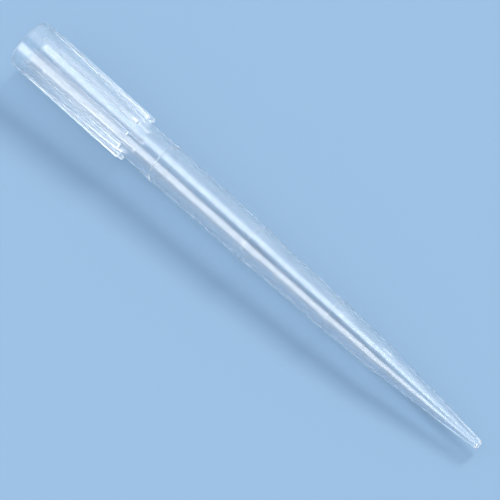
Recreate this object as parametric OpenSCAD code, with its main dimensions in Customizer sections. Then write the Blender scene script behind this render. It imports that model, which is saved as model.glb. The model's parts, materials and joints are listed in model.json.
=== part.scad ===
// Pipette tip, extended length, about 1 ml.
//
// One injection moulding in natural polypropylene. Its mouth slips over a pipette's
// cone and seals on fine rings inside. A ribbed collar stiffens the mouth, and the
// ribs' square ends hang the tip in a rack. The barrel narrows in three stages to a
// long cone and a fine nose, and raised rings on it mark rough volumes.
//
// The tip is first built along its own axis, mouth at zero, and then laid down. It
// rests on the ends of two neighbouring ribs and on the barrel's lowest ring, so its
// axis slopes a little towards the nose.

/* [Overall] */
// Length from the mouth's rim to the nose's end
tip_length = 102; // [92:0.5:125]

/* [Collar] */
// Length of the ribbed collar
collar_length = 24.1; // [18:0.1:28]
// Wall thickness at the rim
rim_wall = 0.48; // [0.4:0.01:0.8]
// Wall thickness between the ribs at the collar's lower end
collar_wall = 0.42; // [0.4:0.01:0.6]
// Height of the ribs' square ends above that wall
rib_end_height = 0.78; // [0.3:0.01:1]
// Plain band between the rim and the start of the ribs
rim_band = 1.1; // [0.5:0.1:4]
// Number of ribs round the collar
rib_count = 10; // [6:2:16]
// Width of each rib
rib_width = 0.66; // [0.4:0.02:1]

/* [Socket] */
// Inner diameter of the socket at the mouth, without its lead-in
mouth_d = 7.9; // [7.6:0.02:8.3]
// Inner diameter of the socket at its lower end
socket_end_d = 6.3; // [6.1:0.02:6.8]
// Width of the lead-in chamfer at the mouth
lead_in = 0.18; // [0.05:0.01:0.3]
// Number of sealing rings
seal_count = 6; // [1:1:8]
// Distance from the rim to the first sealing ring
seal_start = 0.6; // [0.6:0.1:3]
// Distance from one sealing ring to the next
seal_pitch = 0.94; // [0.8:0.02:1.6]
// Height of a sealing ring above the socket's wall
seal_height = 0.06; // [0.03:0.01:0.12]
// Length of the straight land on top of each sealing ring
seal_land = 0.24; // [0.1:0.02:0.4]

/* [Barrel] */
// Diameter of the straight neck that passes through a rack's deck
neck_d = 7.06; // [6.9:0.02:7.3]
// Length of that neck
neck_length = 3.4; // [1:0.1:5]
// Wall thickness of the barrel at the neck
barrel_wall = 0.6; // [0.35:0.01:0.7]
// Wall thickness of the barrel where the nose cone starts
cone_wall = 0.42; // [0.3:0.01:0.6]
// Diameter at the end of the first stage
stage_1_end_d = 6.72; // [6.5:0.02:7]
// Length of the first stage, below the neck
stage_1_length = 23.7; // [15:0.1:28]
// Length of the slope from the first stage to the second
slope_2_length = 4.8; // [2:0.1:8]
// Diameter at the start of the second stage
stage_2_d = 6.14; // [6:0.02:6.4]
// Diameter at the end of the second stage
stage_2_end_d = 5.78; // [5.6:0.02:5.9]
// Length of the second stage
stage_2_length = 13.5; // [8:0.1:18]
// Length of the slope from the second stage to the third
slope_3_length = 3.5; // [2:0.1:5]
// Diameter at the start of the third stage
stage_3_d = 5.3; // [5.1:0.02:5.5]
// Diameter at the end of the third stage
stage_3_end_d = 4.97; // [4.8:0.02:5]
// Length of the third stage
stage_3_length = 7; // [4:0.1:9]
// Length of the slope from the third stage to the cone
slope_4_length = 1.6; // [1:0.1:3]
// Diameter where the nose cone starts
cone_d = 4.6; // [4.3:0.02:4.7]

/* [Nose] */
// Outer diameter of the nose's end
nose_d = 1.6; // [1.3:0.02:2]
// Diameter of the opening in the nose
orifice_d = 0.6; // [0.4:0.02:0.8]
// Length of the straight opening
orifice_length = 1.2; // [0.5:0.1:2.5]

/* [Volume rings] */
// Distance from the neck's end to the first ring
ring_1_drop = 3.2; // [1:0.1:8]
// Height of the first ring above the barrel
ring_1_height = 0.2; // [0.08:0.01:0.24]
// Height of the two rings below it
lower_ring_height = 0.09; // [0.08:0.01:0.24]
// Width of the rings' crests
ring_crest = 0.36; // [0.2:0.02:0.6]

/* [Hidden] */
$fn = 96;

// Each ring has sloping sides, and its foot runs into the wall by this much
sink = 0.15;
// Cuts run this far past a face
over = 1;

rim_r = mouth_d / 2 + rim_wall;
collar_core_r = socket_end_d / 2 + collar_wall;
collar_end_r = collar_core_r + rib_end_height;
nose_r = nose_d / 2;

// The lead-in is twice as deep as it is wide
lead_in_depth = lead_in * 2;

// Stations along the axis
neck_end = collar_length + neck_length;
ring_1_at = neck_end + ring_1_drop;
stage_1_end = neck_end + stage_1_length;
stage_2_start = stage_1_end + slope_2_length;
stage_2_end = stage_2_start + stage_2_length;
stage_3_start = stage_2_end + slope_3_length;
stage_3_end = stage_3_start + stage_3_length;
cone_start = stage_3_end + slope_4_length;

// [distance from the rim, outer radius] down the barrel, each station below the last
barrel = [
    [collar_length, neck_d / 2],
    [neck_end, neck_d / 2],
    [stage_1_end, stage_1_end_d / 2],
    [stage_2_start, stage_2_d / 2],
    [stage_2_end, stage_2_end_d / 2],
    [stage_3_start, stage_3_d / 2],
    [stage_3_end, stage_3_end_d / 2],
    [cone_start, cone_d / 2],
];

// The socket narrows to the bore in a throat that ends level with the collar
throat_length = 1.4;
socket_end = collar_length - throat_length;

function socket_r(z) = (mouth_d + (socket_end_d - mouth_d) * z / socket_end) / 2;

// The barrel's wall thins evenly from the neck to the nose cone
function wall(z) =
    barrel_wall + (cone_wall - barrel_wall) * max(z - neck_end, 0) / (cone_start - neck_end);

// The barrel's outside down its first stage
function stage_1_r(z) = (neck_d + (stage_1_end_d - neck_d) * (z - neck_end) / stage_1_length) / 2;

// [distance from the rim, the wall's radius there, height] of each volume ring
rings = [
    [ring_1_at, stage_1_r(ring_1_at), ring_1_height],
    [stage_1_end, stage_1_end_d / 2, lower_ring_height],
    [stage_2_end, stage_2_end_d / 2, lower_ring_height],
];

// Depth below the axis of the two rib corners that the tip lies on
rib_angle = 360 / rib_count;
rib_half_angle = asin(rib_width / 2 / collar_end_r);
foot = collar_end_r * cos(rib_angle / 2 - rib_half_angle);

// What could touch the surface beyond the ribs: the tip tilts until the first of them does
may_touch = concat(
    [for (p = rings) [p[0] + ring_crest / 2, p[1] + p[2]]],
    [for (p = barrel) if (p[0] > collar_length) p],
    [[tip_length, nose_r]]
);
function lean(heel) = min([for (p = may_touch) atan((heel[1] - p[1]) / (p[0] - heel[0]))]);

// [distance from the rim, depth below the axis] of the heel: the ribs, or the rim if it is wider
on_ribs = [collar_length, foot];
rim_is_lower = rim_r > foot + collar_length * tan(lean(on_ribs));
heel = rim_is_lower ? [0, rim_r] : on_ribs;
slope = lean(heel);

// Height of the axis at the rim, and the middle of the length that the tip covers
rim_height = heel[0] * sin(slope) + heel[1] * cos(slope);
middle = (tip_length * cos(slope) + (nose_r - rim_r) * sin(slope)) / 2;

// Turns a half section of [distance along the axis, radius] points about the axis
module turned(section) {
    rotate_extrude()
        polygon([for (p = section) [p[1], p[0]]]);
}

// A raised ring on a wall of radius r: towards +1 it stands outwards, towards -1 inwards
module raised_ring(at, r, height, crest, towards) {
    foot_half = crest / 2 + height;
    turned([
        [at - foot_half - sink, r - towards * sink],
        [at - crest / 2, r + towards * height],
        [at + crest / 2, r + towards * height],
        [at + foot_half + sink, r - towards * sink],
    ]);
}

// The moulding's outside without ribs or rings, solid through
module outside() {
    turned(concat(
        [[0, 0], [0, rim_r], [rim_band, rim_r], [collar_length, collar_core_r]],
        barrel,
        [[tip_length, nose_r], [tip_length, 0]]
    ));
}

// Square-ended ribs, trimmed to the collar's gentle taper
module ribs() {
    intersection() {
        cylinder(h = collar_length, r1 = rim_r, r2 = collar_end_r);
        for (i = [0 : rib_count - 1])
            rotate([0, 0, (i + 0.5) * rib_angle])
                translate([socket_end_d / 2, -rib_width / 2, rim_band])
                    cube([socket_end_d, rib_width, collar_length]);
    }
}

// The hollow: lead-in, tapered socket, barrel bore and the fine opening in the nose
module cavity() {
    bore = [for (p = barrel) [p[0], p[1] - wall(p[0])]];
    turned(concat(
        [
            [-over, 0],
            [-over, mouth_d / 2 + lead_in],
            [0, mouth_d / 2 + lead_in],
            [lead_in_depth, socket_r(lead_in_depth)],
            [socket_end, socket_end_d / 2],
        ],
        bore,
        [
            [tip_length - orifice_length, orifice_d / 2],
            [tip_length + over, orifice_d / 2],
            [tip_length + over, 0],
        ]
    ));
}

module sealing_rings() {
    for (i = [0 : seal_count - 1])
        let (at = seal_start + i * seal_pitch)
            raised_ring(at, socket_r(at), seal_height, seal_land, -1);
}

module volume_rings() {
    for (p = rings)
        raised_ring(p[0], p[1], p[2], ring_crest, 1);
}

// The whole moulding, along +Z from its rim
module moulding() {
    difference() {
        union() {
            outside();
            ribs();
            volume_rings();
        }
        cavity();
    }
    sealing_rings();
}

module pipette_tip() {
    color([0.86, 0.91, 0.95, 0.75])
        translate([-middle, 0, rim_height])
            rotate([0, 90 + slope, 0])
                moulding();
}

pipette_tip();
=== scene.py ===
import json
import math

import bpy
from mathutils import Matrix, Vector


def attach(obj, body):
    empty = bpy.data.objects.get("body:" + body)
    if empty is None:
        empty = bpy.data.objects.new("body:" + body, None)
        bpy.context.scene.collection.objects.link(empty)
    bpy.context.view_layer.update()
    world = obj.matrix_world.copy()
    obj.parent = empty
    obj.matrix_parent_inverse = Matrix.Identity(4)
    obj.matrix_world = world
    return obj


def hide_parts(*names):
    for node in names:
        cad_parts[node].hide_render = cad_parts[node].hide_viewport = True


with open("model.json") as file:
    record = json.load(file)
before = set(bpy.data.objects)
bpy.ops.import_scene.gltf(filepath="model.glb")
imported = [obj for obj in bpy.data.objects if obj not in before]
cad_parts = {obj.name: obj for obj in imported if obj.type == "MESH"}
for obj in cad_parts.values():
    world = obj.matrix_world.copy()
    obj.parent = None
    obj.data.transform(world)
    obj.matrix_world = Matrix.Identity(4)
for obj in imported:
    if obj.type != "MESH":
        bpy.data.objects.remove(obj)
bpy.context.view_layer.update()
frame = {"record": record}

# ---- How the tip lies -------------------------------------------------------------
# The tip lies on two rib ends and its lowest ring, so its axis slopes a little to the
# nose. The rack neck, whose middle is a known distance from the rim, gives the axis.
MM = 0.001
NECK_MIDDLE = 25.8 * MM
neck = next(m for m in frame["record"]["mounts"] if m["name"] == "rack_neck")
along = Vector(neck["axis"]).normalized()
rim_centre = Vector(neck["pos_m"]) - along * NECK_MIDDLE
side = Vector((0, 1, 0))
upward = along.cross(side)
lying = Matrix.Translation(rim_centre) @ Matrix((along, side, upward)).transposed().to_4x4()

# ---- Natural polypropylene ----------------------------------------------------------
# The resin has no pigment. It is clear with a slight milky haze, glossy where the
# polished mould touched it, and the flow of the melt left faint long waves and clouds.
natural = bpy.data.materials.new("natural_polypropylene")
natural.use_nodes = True
steps, wires = natural.node_tree.nodes, natural.node_tree.links
resin = steps["Principled BSDF"]
resin.inputs["IOR"].default_value = 1.49


def wire(source, target):
    wires.new(source, target)


def grain(name, stretch, scale, detail):
    """Noise on the moulding, drawn out along it by 1 / stretch."""
    place = steps.new("ShaderNodeMapping")
    place.inputs["Scale"].default_value = (stretch, 1, 1)
    wire(on_tip.outputs["Object"], place.inputs["Vector"])
    noise = steps.new("ShaderNodeTexNoise")
    noise.name = name
    noise.inputs["Scale"].default_value = scale
    noise.inputs["Detail"].default_value = detail
    wire(place.outputs["Vector"], noise.inputs["Vector"])
    return noise.outputs["Fac"]


def between(source, low, high):
    """Spreads a noise over a range of values."""
    spread = steps.new("ShaderNodeMapRange")
    spread.inputs["From Min"].default_value = 0.3
    spread.inputs["From Max"].default_value = 0.7
    spread.inputs["To Min"].default_value = low
    spread.inputs["To Max"].default_value = high
    wire(source, spread.inputs["Value"])
    return spread.outputs["Result"]


on_tip = steps.new("ShaderNodeTexCoord")
clouds = grain("flow clouds", 0.3, 260, 3)
wire(between(clouds, 0.975, 0.995), resin.inputs["Transmission Weight"])
tint = steps.new("ShaderNodeMix")
tint.data_type = "RGBA"
tint.inputs["A"].default_value = (0.94, 0.965, 0.98, 1)
tint.inputs["B"].default_value = (0.98, 0.99, 1.0, 1)
wire(between(clouds, 0.0, 1.0), tint.inputs["Factor"])
wire(tint.outputs["Result"], resin.inputs["Base Color"])
# The mould's rib slots are left as they were sparked out, so the ribs' tops are matt
matt = steps.new("ShaderNodeAttribute")
matt.attribute_name = "rib_face"
finish = steps.new("ShaderNodeMix")
wire(matt.outputs["Fac"], finish.inputs["Factor"])
wire(between(grain("polish", 0.5, 900, 2), 0.14, 0.19), finish.inputs["A"])
wire(between(grain("spark finish", 1, 5000, 2), 0.38, 0.5), finish.inputs["B"])
wire(finish.outputs["Result"], resin.inputs["Roughness"])
waves = steps.new("ShaderNodeBump")
waves.inputs["Strength"].default_value = 0.5
waves.inputs["Distance"].default_value = 0.0015 * MM
wire(grain("flow waves", 0.05, 250, 0), waves.inputs["Height"])
wire(waves.outputs["Normal"], resin.inputs["Normal"])
# Lamps shine through the thin walls, which take more of their light where they lie edge on
path = steps.new("ShaderNodeLightPath")
let_through = steps.new("ShaderNodeMath")
let_through.operation = "MAXIMUM"
wire(path.outputs["Is Shadow Ray"], let_through.inputs[0])
wire(path.outputs["Is Diffuse Ray"], let_through.inputs[1])
edge_on = steps.new("ShaderNodeLayerWeight")
edge_on.inputs["Blend"].default_value = 0.35
passed = steps.new("ShaderNodeMix")
passed.data_type = "RGBA"
passed.inputs["A"].default_value = (0.95, 0.96, 0.97, 1)
passed.inputs["B"].default_value = (0.3, 0.36, 0.42, 1)
wire(edge_on.outputs["Facing"], passed.inputs["Factor"])
film = steps.new("ShaderNodeBsdfTransparent")
wire(passed.outputs["Result"], film.inputs["Color"])
through = steps.new("ShaderNodeMixShader")
wire(let_through.outputs["Value"], through.inputs["Fac"])
wire(resin.outputs["BSDF"], through.inputs[1])
wire(film.outputs["BSDF"], through.inputs[2])
wire(through.outputs["Shader"], steps["Material Output"].inputs["Surface"])

# ---- The collar ---------------------------------------------------------------------
# Ten ribs stiffen the wide end. They grow from nothing behind the rim to square ends,
# which hang the tip in its rack. Each row has the radius between ribs and on their tops.
RIM_RADIUS, RIM_EDGE = 4.43, 0.2
RIB_START, COLLAR_END = 1.1, 24.1
COLLAR_WALL_END, RIB_END, RIB_EDGE = 3.57, 4.35, 0.07
RIB_ROWS, EDGE_ROWS, RIB_EDGE_ROWS = 16, 4, 3
RIB_FILLET = 0.05
NECK_RADIUS = 3.53
outline = []  # (distance from the rim, radius between ribs, radius on a rib, 1 where ribbed)
for k in range(EDGE_ROWS + 1):
    turn = math.pi / 2 * k / EDGE_ROWS
    r = RIM_RADIUS - RIM_EDGE + RIM_EDGE * math.sin(turn)
    outline.append((RIM_EDGE - RIM_EDGE * math.cos(turn), r, r, 1))
for k in range(RIB_ROWS + 1):
    x = RIB_START + (COLLAR_END - RIB_EDGE - RIB_START) * k / RIB_ROWS
    along_ribs = (x - RIB_START) / (COLLAR_END - RIB_START)
    wall = RIM_RADIUS + (COLLAR_WALL_END - RIM_RADIUS) * along_ribs
    top = RIM_RADIUS + (RIB_END - RIM_RADIUS) * x / COLLAR_END
    outline.append((x, wall, top if k else wall, 1))
for k in range(1, RIB_EDGE_ROWS + 1):
    turn = math.pi / 2 * k / RIB_EDGE_ROWS
    drop = RIB_EDGE * (1 - math.cos(turn))
    x = COLLAR_END - RIB_EDGE + RIB_EDGE * math.sin(turn)
    outline.append((x, COLLAR_WALL_END, RIB_END - drop, 1))
outline.append((COLLAR_END, COLLAR_WALL_END, COLLAR_WALL_END + RIB_FILLET, 1))
outline.append((COLLAR_END + RIB_FILLET, COLLAR_WALL_END, COLLAR_WALL_END, 1))

# The ribs' section: offset in half widths, share of the way to the valley's middle, and
# share of the rib's height, from one valley's middle to just before the next
RIB_FOOT = 1.18
half_rib = [
    (0, 0, 1), (0.45, 0, 1), (0.75, 0, 1), (0.87, 0, 0.985), (0.94, 0, 0.95), (0.975, 0, 0.88),
    (1.025, 0, 0.1), (1.07, 0, 0.03), (RIB_FOOT, 0, 0),
    (RIB_FOOT, 0.2, 0), (RIB_FOOT, 0.46, 0), (RIB_FOOT, 0.73, 0),
]
rib = [(-RIB_FOOT, 1, 0)] + [(-a, b, c) for a, b, c in reversed(half_rib[1:])] + half_rib

# ---- The barrel and nose ------------------------------------------------------------
# Below the collar the barrel narrows in three stages to a long cone and a fine nose.
# Three raised rings, sharp turned grooves in the mould, mark rough volumes.
NECK_START, NECK_END = COLLAR_END + 0.4, 27.5
# The wall thins from the neck to the start of the nose cone
BARREL_WALL, CONE_WALL, CONE_START = 0.6, 0.42, 81.6
TIP_LENGTH, NOSE_RADIUS = 102, 0.8
ORIFICE_RADIUS, ORIFICE_LENGTH = 0.3, 1.2
ORIFICE_MEETING = TIP_LENGTH - 0.5
# (distance from the rim, outer radius, rounding) at each turn of the wall
stages = [
    (51.2, 3.36, 1), (56, 3.07, 1), (69.5, 2.89, 1),
    (73, 2.65, 0.8), (80, 2.485, 0.4), (CONE_START, 2.3, 0.6),
]
# (distance from the rim, height, width of the crest) of the raised rings, and how far
# each side leans out for its height
volume_rings = [(30.7, 0.14, 0.3), (51.2, 0.05, 0.3), (69.5, 0.05, 0.3)]
RING_SIDE = 0.25
# A rounding reaches no further along either wall than that wall's length over this
ROUNDING_LIMIT = 2.2


def rounded(corners, parts=4):
    """Points along a wall whose (distance, radius, rounding) corners are rounded off."""
    points = []
    for i, (x, r, rounding) in enumerate(corners):
        here = Vector((x, r))
        if not rounding or i in (0, len(corners) - 1):
            points.append(here)
            continue
        back = Vector(corners[i - 1][:2]) - here
        ahead = Vector(corners[i + 1][:2]) - here
        turn = math.pi - back.angle(ahead)
        cut = min(rounding * math.tan(turn / 2), back.length / ROUNDING_LIMIT, ahead.length / ROUNDING_LIMIT)
        start, end = here + back.normalized() * cut, here + ahead.normalized() * cut
        for k in range(parts + 1):
            t = k / parts
            points.append((1 - t) ** 2 * start + 2 * t * (1 - t) * here + t * t * end)
    return points


def with_rings(points, rings, towards):
    """Adds a flat-topped ring to a wall at each (distance, height, crest width)."""
    out = []
    for a, b in zip(points, points[1:]):
        out.append(a)
        for x, height, crest in rings:
            if a.x < x <= b.x or b.x < x <= a.x:
                way = 1 if b.x > a.x else -1
                profile = [
                    (crest / 2 + RING_SIDE * height * (1 - up), height * up) for up in (0, 0.12, 0.9, 1)
                ]
                for offset, lift in [(-p, q) for p, q in profile] + profile[::-1]:
                    at = x + way * offset
                    wall = a.y + (b.y - a.y) * (at - a.x) / (b.x - a.x)
                    out.append(Vector((at, wall + towards * lift)))
    out.append(points[-1])
    return out


barrel = rounded(
    [(COLLAR_END + RIB_FILLET, COLLAR_WALL_END, 0), (NECK_START, NECK_RADIUS, 1)]
    + [(NECK_END, NECK_RADIUS, 2)]
    + stages
    + [(TIP_LENGTH, NOSE_RADIUS, 0.22), (TIP_LENGTH, ORIFICE_RADIUS, 0.05)]
    + [(ORIFICE_MEETING, ORIFICE_RADIUS, 0)]
)
outline += [(p.x, p.y, p.y, 0) for p in with_rings(barrel[1:], volume_rings, 1)]

# ---- The socket and bore ------------------------------------------------------------
# The inside, formed by a polished core pin: the bore follows the barrel, and the socket
# widens to the mouth. Six fine rings near the mouth seal on a pipette's cone.
SOCKET_END, SOCKET_MOUTH_RADIUS, SOCKET_END_RADIUS = 22.7, 3.95, 3.15
LEAD_IN = 0.18
SEALS, SEAL_START, SEAL_PITCH = 6, 0.6, 0.94
SEAL_HEIGHT, SEAL_CREST = 0.04, 0.24


def wall_at(x):
    return BARREL_WALL + (CONE_WALL - BARREL_WALL) * (x - NECK_END) / (CONE_START - NECK_END)


bore = rounded(
    [(ORIFICE_MEETING, ORIFICE_RADIUS, 0), (TIP_LENGTH - ORIFICE_LENGTH, ORIFICE_RADIUS, 0.5)]
    + [(x, r - wall_at(x), rounding) for x, r, rounding in reversed(stages)]
    + [(NECK_END, NECK_RADIUS - BARREL_WALL, 2), (COLLAR_END, NECK_RADIUS - BARREL_WALL, 1)]
    + [(SOCKET_END, SOCKET_END_RADIUS, 1), (2 * LEAD_IN, SOCKET_MOUTH_RADIUS, 0.1)]
    + [(0, SOCKET_MOUTH_RADIUS + LEAD_IN, 0.06), (0, RIM_RADIUS - RIM_EDGE, 0)]
)
seals = [(SEAL_START + i * SEAL_PITCH, SEAL_HEIGHT, SEAL_CREST) for i in reversed(range(SEALS))]
outline += [(p.x, p.y, p.y, 0) for p in with_rings(bore[1:], seals, -1)[:-1]]

# ---- The moulding -------------------------------------------------------------------
# The whole tip is one piece. The rows are swept round the axis, and between the rim and
# the collar's end each sector also follows the section of a rib.
RIBS, RIB_WIDTH = 10, 0.66
SUPPORT, MATT_FROM = 0.06, 0.15
SHARP_FROM = math.radians(38)


def supported(rows):
    """Adds a row close to each end of every long stretch, so that its shading stays even."""
    out = []
    for a, b in zip(rows, rows[1:]):
        out.append(a)
        length = math.dist(a[:2], b[:2])
        if length > 4 * SUPPORT:
            for t in (SUPPORT / length, 1 - SUPPORT / length):
                out.append(tuple(p + (q - p) * t for p, q in zip(a, b)))
    out.append(rows[-1])
    return out


outline = supported(outline)


def points_object(name, points, **attributes):
    mesh = bpy.data.meshes.new(name)
    mesh.from_pydata([tuple(p) for p in points], [(i, i + 1) for i in range(len(points) - 1)], [])
    for key, values in attributes.items():
        mesh.attributes.new(key, "FLOAT", "POINT").data.foreach_set("value", values)
    thing = bpy.data.objects.new(name, mesh)
    bpy.context.collection.objects.link(thing)
    return thing


tip = points_object(
    "moulding",
    [(x * MM, r * MM, 0) for x, r, _, _ in outline],
    rib_top=[top * MM for _, _, top, _ in outline],
    ribbed=[ribbed for _, _, _, ribbed in outline],
)
rib_section = points_object("rib section", rib)

tree = bpy.data.node_groups.new("Ribbed turning", "GeometryNodeTree")
slots = {
    name: tree.interface.new_socket(name=name, in_out="INPUT", socket_type=kind)
    for name, kind in (
        ("Outline", "NodeSocketGeometry"),
        ("Rib section", "NodeSocketObject"),
        ("Ribs", "NodeSocketInt"),
        ("Rib width", "NodeSocketFloat"),
        ("Material", "NodeSocketMaterial"),
    )
}
tree.interface.new_socket(name="Moulding", in_out="OUTPUT", socket_type="NodeSocketGeometry")


def node(kind, *values, **settings):
    """A node whose inputs are filled in order, each from a value or another node's output."""
    made = tree.nodes.new(kind)
    for key, value in settings.items():
        setattr(made, key, value)
    for socket, value in zip([s for s in made.inputs if s.enabled], values):
        if isinstance(value, bpy.types.NodeSocket):
            tree.links.new(value, socket)
        elif value is not None:
            socket.default_value = value
    return made


def calc(operation, *values):
    return node("ShaderNodeMath", *values, operation=operation).outputs[0]


def whole(operation, *values):
    return node("FunctionNodeIntegerMath", *values, operation=operation).outputs[0]


def sample(geometry, value, index, kind="FLOAT"):
    made = node("GeometryNodeSampleIndex", data_type=kind, domain="POINT")
    tree.links.new(geometry, made.inputs["Geometry"])
    tree.links.new(value, made.inputs["Value"])
    tree.links.new(index, made.inputs["Index"])
    return next(s for s in made.outputs if s.enabled)


def named(attribute):
    made = node("GeometryNodeInputNamedAttribute", data_type="FLOAT")
    made.inputs["Name"].default_value = attribute
    return next(s for s in made.outputs if s.enabled)


def count(geometry):
    return node("GeometryNodeAttributeDomainSize", geometry, component="MESH").outputs["Point Count"]


# A sheet with a column for each point of each rib's section. Its last row and column
# lie on the first ones, and are merged with them at the end.
given = node("NodeGroupInput").outputs
section = node("GeometryNodeObjectInfo", given["Rib section"]).outputs["Geometry"]
rows, per_rib = count(given["Outline"]), count(section)
columns = whole("MULTIPLY", per_rib, given["Ribs"])
rows_closed = whole("ADD", rows, 1)
sheet = node("GeometryNodeMeshGrid", 1.0, 1.0, whole("ADD", columns, 1), rows_closed).outputs["Mesh"]
index = node("GeometryNodeInputIndex").outputs[0]
row = whole("MODULO", whole("MODULO", index, rows_closed), rows)
column = whole("DIVIDE_FLOOR", index, rows_closed)
step = whole("MODULO", column, per_rib)
rib_number = whole("DIVIDE_FLOOR", column, per_rib)

# Each point's place in the outline and in the rib's section
place = node("GeometryNodeInputPosition").outputs[0]
station = node("ShaderNodeSeparateXYZ", sample(given["Outline"], place, row, "FLOAT_VECTOR")).outputs
rib_top = sample(given["Outline"], named("rib_top"), row)
ribbed = sample(given["Outline"], named("ribbed"), row)
on_rib = node("ShaderNodeSeparateXYZ", sample(section, place, step, "FLOAT_VECTOR")).outputs
radius = calc("MULTIPLY_ADD", calc("SUBTRACT", rib_top, station["Y"]), on_rib["Z"], station["Y"])

# The angle: a rib keeps its width in millimetres, and plain rows are spaced evenly
sector = calc("DIVIDE", math.tau, given["Ribs"])
offset = calc("MULTIPLY", calc("ABSOLUTE", on_rib["X"]), calc("DIVIDE", given["Rib width"], 2.0))
rib_angle = calc("ARCSINE", calc("MINIMUM", calc("DIVIDE", offset, radius), 1.0))
to_valley = calc("SUBTRACT", calc("DIVIDE", sector, 2.0), rib_angle)
near = calc("MULTIPLY", calc("SIGN", on_rib["X"]), calc("MULTIPLY_ADD", to_valley, on_rib["Y"], rib_angle))
even = calc("MULTIPLY", sector, calc("SUBTRACT", calc("DIVIDE", step, per_rib), 0.5))
local_angle = calc("MULTIPLY_ADD", calc("SUBTRACT", near, even), ribbed, even)
angle = calc("MULTIPLY_ADD", sector, calc("ADD", rib_number, 0.5), local_angle)
turned = node(
    "ShaderNodeCombineXYZ",
    station["X"],
    calc("MULTIPLY", radius, calc("SINE", angle)),
    calc("MULTIPLY", radius, calc("MULTIPLY", calc("COSINE", angle), -1.0)),
).outputs[0]
shaped = node("GeometryNodeSetPosition", sheet, None, turned).outputs[0]

# The ribs' tops are marked for the matt finish once they stand clear of the wall
clear_of_wall = calc("DIVIDE", calc("SUBTRACT", rib_top, station["Y"]), MATT_FROM * MM)
face = calc("MULTIPLY", calc("MULTIPLY", on_rib["Z"], ribbed), calc("MINIMUM", clear_of_wall, 1.0))
marked = node("GeometryNodeStoreNamedAttribute", shaped, data_type="FLOAT", domain="POINT")
marked.inputs["Name"].default_value = "rib_face"
tree.links.new(face, marked.inputs["Value"])
welded = node("GeometryNodeMergeByDistance", marked.outputs[0])
welded.inputs["Distance"].default_value = MM / 1000
realized = node("GeometryNodeRealizeInstances", welded.outputs[0]).outputs[0]
finished = node("GeometryNodeSetMaterial", realized)
tree.links.new(given["Material"], finished.inputs["Material"])
tree.links.new(finished.outputs[0], node("NodeGroupOutput").inputs[0])

turning = tip.modifiers.new("Ribbed turning", "NODES")
turning.node_group = tree
turning[slots["Rib section"].identifier] = rib_section
turning[slots["Ribs"].identifier] = RIBS
turning[slots["Rib width"].identifier] = RIB_WIDTH * MM
turning[slots["Material"].identifier] = natural
shape = bpy.data.meshes.new_from_object(tip.evaluated_get(bpy.context.evaluated_depsgraph_get()))
tip.modifiers.clear()
tip.data = shape
bpy.data.objects.remove(rib_section)
shape.transform(lying)
shape.polygons.foreach_set("use_smooth", [True] * len(shape.polygons))
shape.set_sharp_from_angle(angle=SHARP_FROM)
shape.update()
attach(tip, "root")
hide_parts("pipette_tip")

# ---- The bench top ------------------------------------------------------------------
# A plain pale sheet under the tip, larger than any view of it. Its finish is matt, so
# that it shows only the tip's shadow.
BENCH_SIZE, BENCH_COLOUR = 20, (0.34, 0.53, 0.76, 1)
bpy.ops.mesh.primitive_plane_add(size=BENCH_SIZE)
bench = bpy.context.object
bench.name = "bench"
pale = bpy.data.materials.new("pale bench")
pale.use_nodes = True
sheet_shader = pale.node_tree.nodes["Principled BSDF"]
sheet_shader.inputs["Base Color"].default_value = BENCH_COLOUR
sheet_shader.inputs["Roughness"].default_value = 0.7
sheet_shader.inputs["Specular IOR Level"].default_value = 0.2
bench.data.materials.append(pale)

# ---- Camera -------------------------------------------------------------------------
# A long lens, looking down at the tip a little from its nose's side. The camera is
# turned about its own line of sight, so that the tip runs down across the frame.
LOOK_ASIDE, LEAN, ROLL = math.radians(22), math.radians(13), math.radians(41.86)
DISTANCE, FRAME_WIDTH = 2.2, 78.74 * MM
across = math.cos(LEAN) * upward - math.sin(LEAN) * side
towards_camera = (math.sin(LOOK_ASIDE) * along + math.cos(LOOK_ASIDE) * across).normalized()
along_seen = (along - towards_camera * along.dot(towards_camera)).normalized()
side_seen = along_seen.cross(towards_camera)
right = math.cos(ROLL) * along_seen - math.sin(ROLL) * side_seen
up = -math.sin(ROLL) * along_seen - math.cos(ROLL) * side_seen
AIM_ALONG, AIM_ASIDE = 51.4 * MM, 1.12 * MM
target = rim_centre + along * AIM_ALONG + side_seen * AIM_ASIDE
lens = bpy.data.cameras.new("camera")
camera = bpy.data.objects.new("camera", lens)
bpy.context.collection.objects.link(camera)
lens.lens = lens.sensor_width * DISTANCE / FRAME_WIDTH
lens.clip_start, lens.clip_end = 0.05, 20
seat = Matrix((right, up, towards_camera)).transposed().to_4x4()
camera.matrix_world = Matrix.Translation(target + towards_camera * DISTANCE) @ seat
bpy.context.scene.camera = camera

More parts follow.
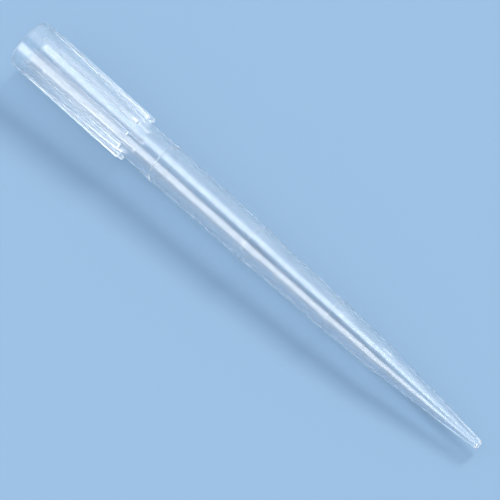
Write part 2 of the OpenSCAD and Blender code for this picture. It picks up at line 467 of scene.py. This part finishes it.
# ---- Light --------------------------------------------------------------------------
# Two soft boxes draw the two stripes along the tip, the stronger one low on the camera's
# side, and a third beyond the mouth catches the rim. A broad soft lamp on the other side
# lights the bench and throws the shadow. The room has pale walls and a dark ceiling.
BOX_DISTANCE, BOX_LENGTH, BOX_WIDTH = 1.2, 0.8, 0.69
BOX_CENTRE = 111 * MM
level = (towards_camera - along * towards_camera.dot(along)).normalized()
sideways = level.cross(along)
for name, swing, past_mouth, radiance in (
    ("side box", -34.8, 22, 4.6),
    ("upper box", 34.8, 22, 1.8),
    ("mouth box", 0, 58, 2.5),
):
    swing, past_mouth = math.radians(swing), math.radians(past_mouth)
    towards_box = math.cos(swing) * level + math.sin(swing) * sideways
    towards_box = math.cos(past_mouth) * towards_box - math.sin(past_mouth) * along
    lamp = bpy.data.lights.new(name, "AREA")
    lamp.shape = "RECTANGLE"
    lamp.size, lamp.size_y = BOX_LENGTH, BOX_WIDTH
    lamp.energy = radiance * math.pi * BOX_LENGTH * BOX_WIDTH
    box = bpy.data.objects.new(name, lamp)
    bpy.context.collection.objects.link(box)
    length_way = (along - towards_box * along.dot(towards_box)).normalized()
    facing = Matrix((length_way, towards_box.cross(length_way), towards_box)).transposed().to_4x4()
    middle = rim_centre + along * BOX_CENTRE
    box.matrix_world = Matrix.Translation(middle + towards_box * BOX_DISTANCE) @ facing
    box.visible_camera = False
    box.visible_diffuse = False

KEY_LIGHT, KEY_SPREAD = 2.8, math.radians(18)
key_lamp = bpy.data.lights.new("key", "SUN")
key_lamp.energy = KEY_LIGHT
key_lamp.angle = KEY_SPREAD
key = bpy.data.objects.new("key", key_lamp)
bpy.context.collection.objects.link(key)
towards_key = Vector((0.1, 0.78, 0.62)).normalized()
key.matrix_world = towards_key.to_track_quat("Z", "Y").to_matrix().to_4x4()
key.visible_glossy = False

ROOM_LIGHT, ROOM_THROUGH = 0.45, 0.9
room = bpy.data.worlds.new("room")
bpy.context.scene.world = room
room.use_nodes = True
room_steps, room_wires = room.node_tree.nodes, room.node_tree.links
glow = room_steps["Background"]
direction = room_steps.new("ShaderNodeTexCoord")
axes = room_steps.new("ShaderNodeSeparateXYZ")
room_wires.new(direction.outputs["Generated"], axes.inputs["Vector"])
# Pale walls, a dark ceiling and a window beyond the mouth, which only mirrors see
walls = room_steps.new("ShaderNodeMapRange")
window = room_steps.new("ShaderNodeMapRange")
for spread, source, values in (
    (walls, "Z", (0.6, 0.85, 1.1, 0.05)),
    (window, "X", (-0.9, -0.5, 1.6, 1)),
):
    room_wires.new(axes.outputs[source], spread.inputs["Value"])
    for socket, value in zip(("From Min", "From Max", "To Min", "To Max"), values):
        spread.inputs[socket].default_value = value
seen = room_steps.new("ShaderNodeMath")
seen.operation = "MULTIPLY"
room_wires.new(walls.outputs["Result"], seen.inputs[0])
room_wires.new(window.outputs["Result"], seen.inputs[1])
ray = room_steps.new("ShaderNodeLightPath")
# What shows through the tip is as blue as the bench
air = room_steps.new("ShaderNodeMix")
air.data_type = "RGBA"
air.inputs["A"].default_value = (0.9, 0.95, 1.0, 1)
air.inputs["B"].default_value = (0.55, 0.76, 1.0, 1)
room_wires.new(ray.outputs["Is Transmission Ray"], air.inputs["Factor"])
room_wires.new(air.outputs["Result"], glow.inputs["Color"])
strength = seen.outputs["Value"]
for kind, value in (("Is Transmission Ray", ROOM_THROUGH), ("Is Diffuse Ray", ROOM_LIGHT)):
    choose = room_steps.new("ShaderNodeMix")
    room_wires.new(ray.outputs[kind], choose.inputs["Factor"])
    room_wires.new(strength, choose.inputs["A"])
    choose.inputs["B"].default_value = value
    strength = choose.outputs["Result"]
room_wires.new(strength, glow.inputs["Strength"])
bpy.context.scene.view_settings.view_transform = "Standard"

# Light runs a long way inside a clear wall before it comes out
WALL_BOUNCES = 32
cycles = bpy.context.scene.cycles
cycles.max_bounces = cycles.glossy_bounces = cycles.transmission_bounces = WALL_BOUNCES
cycles.transparent_max_bounces = WALL_BOUNCES
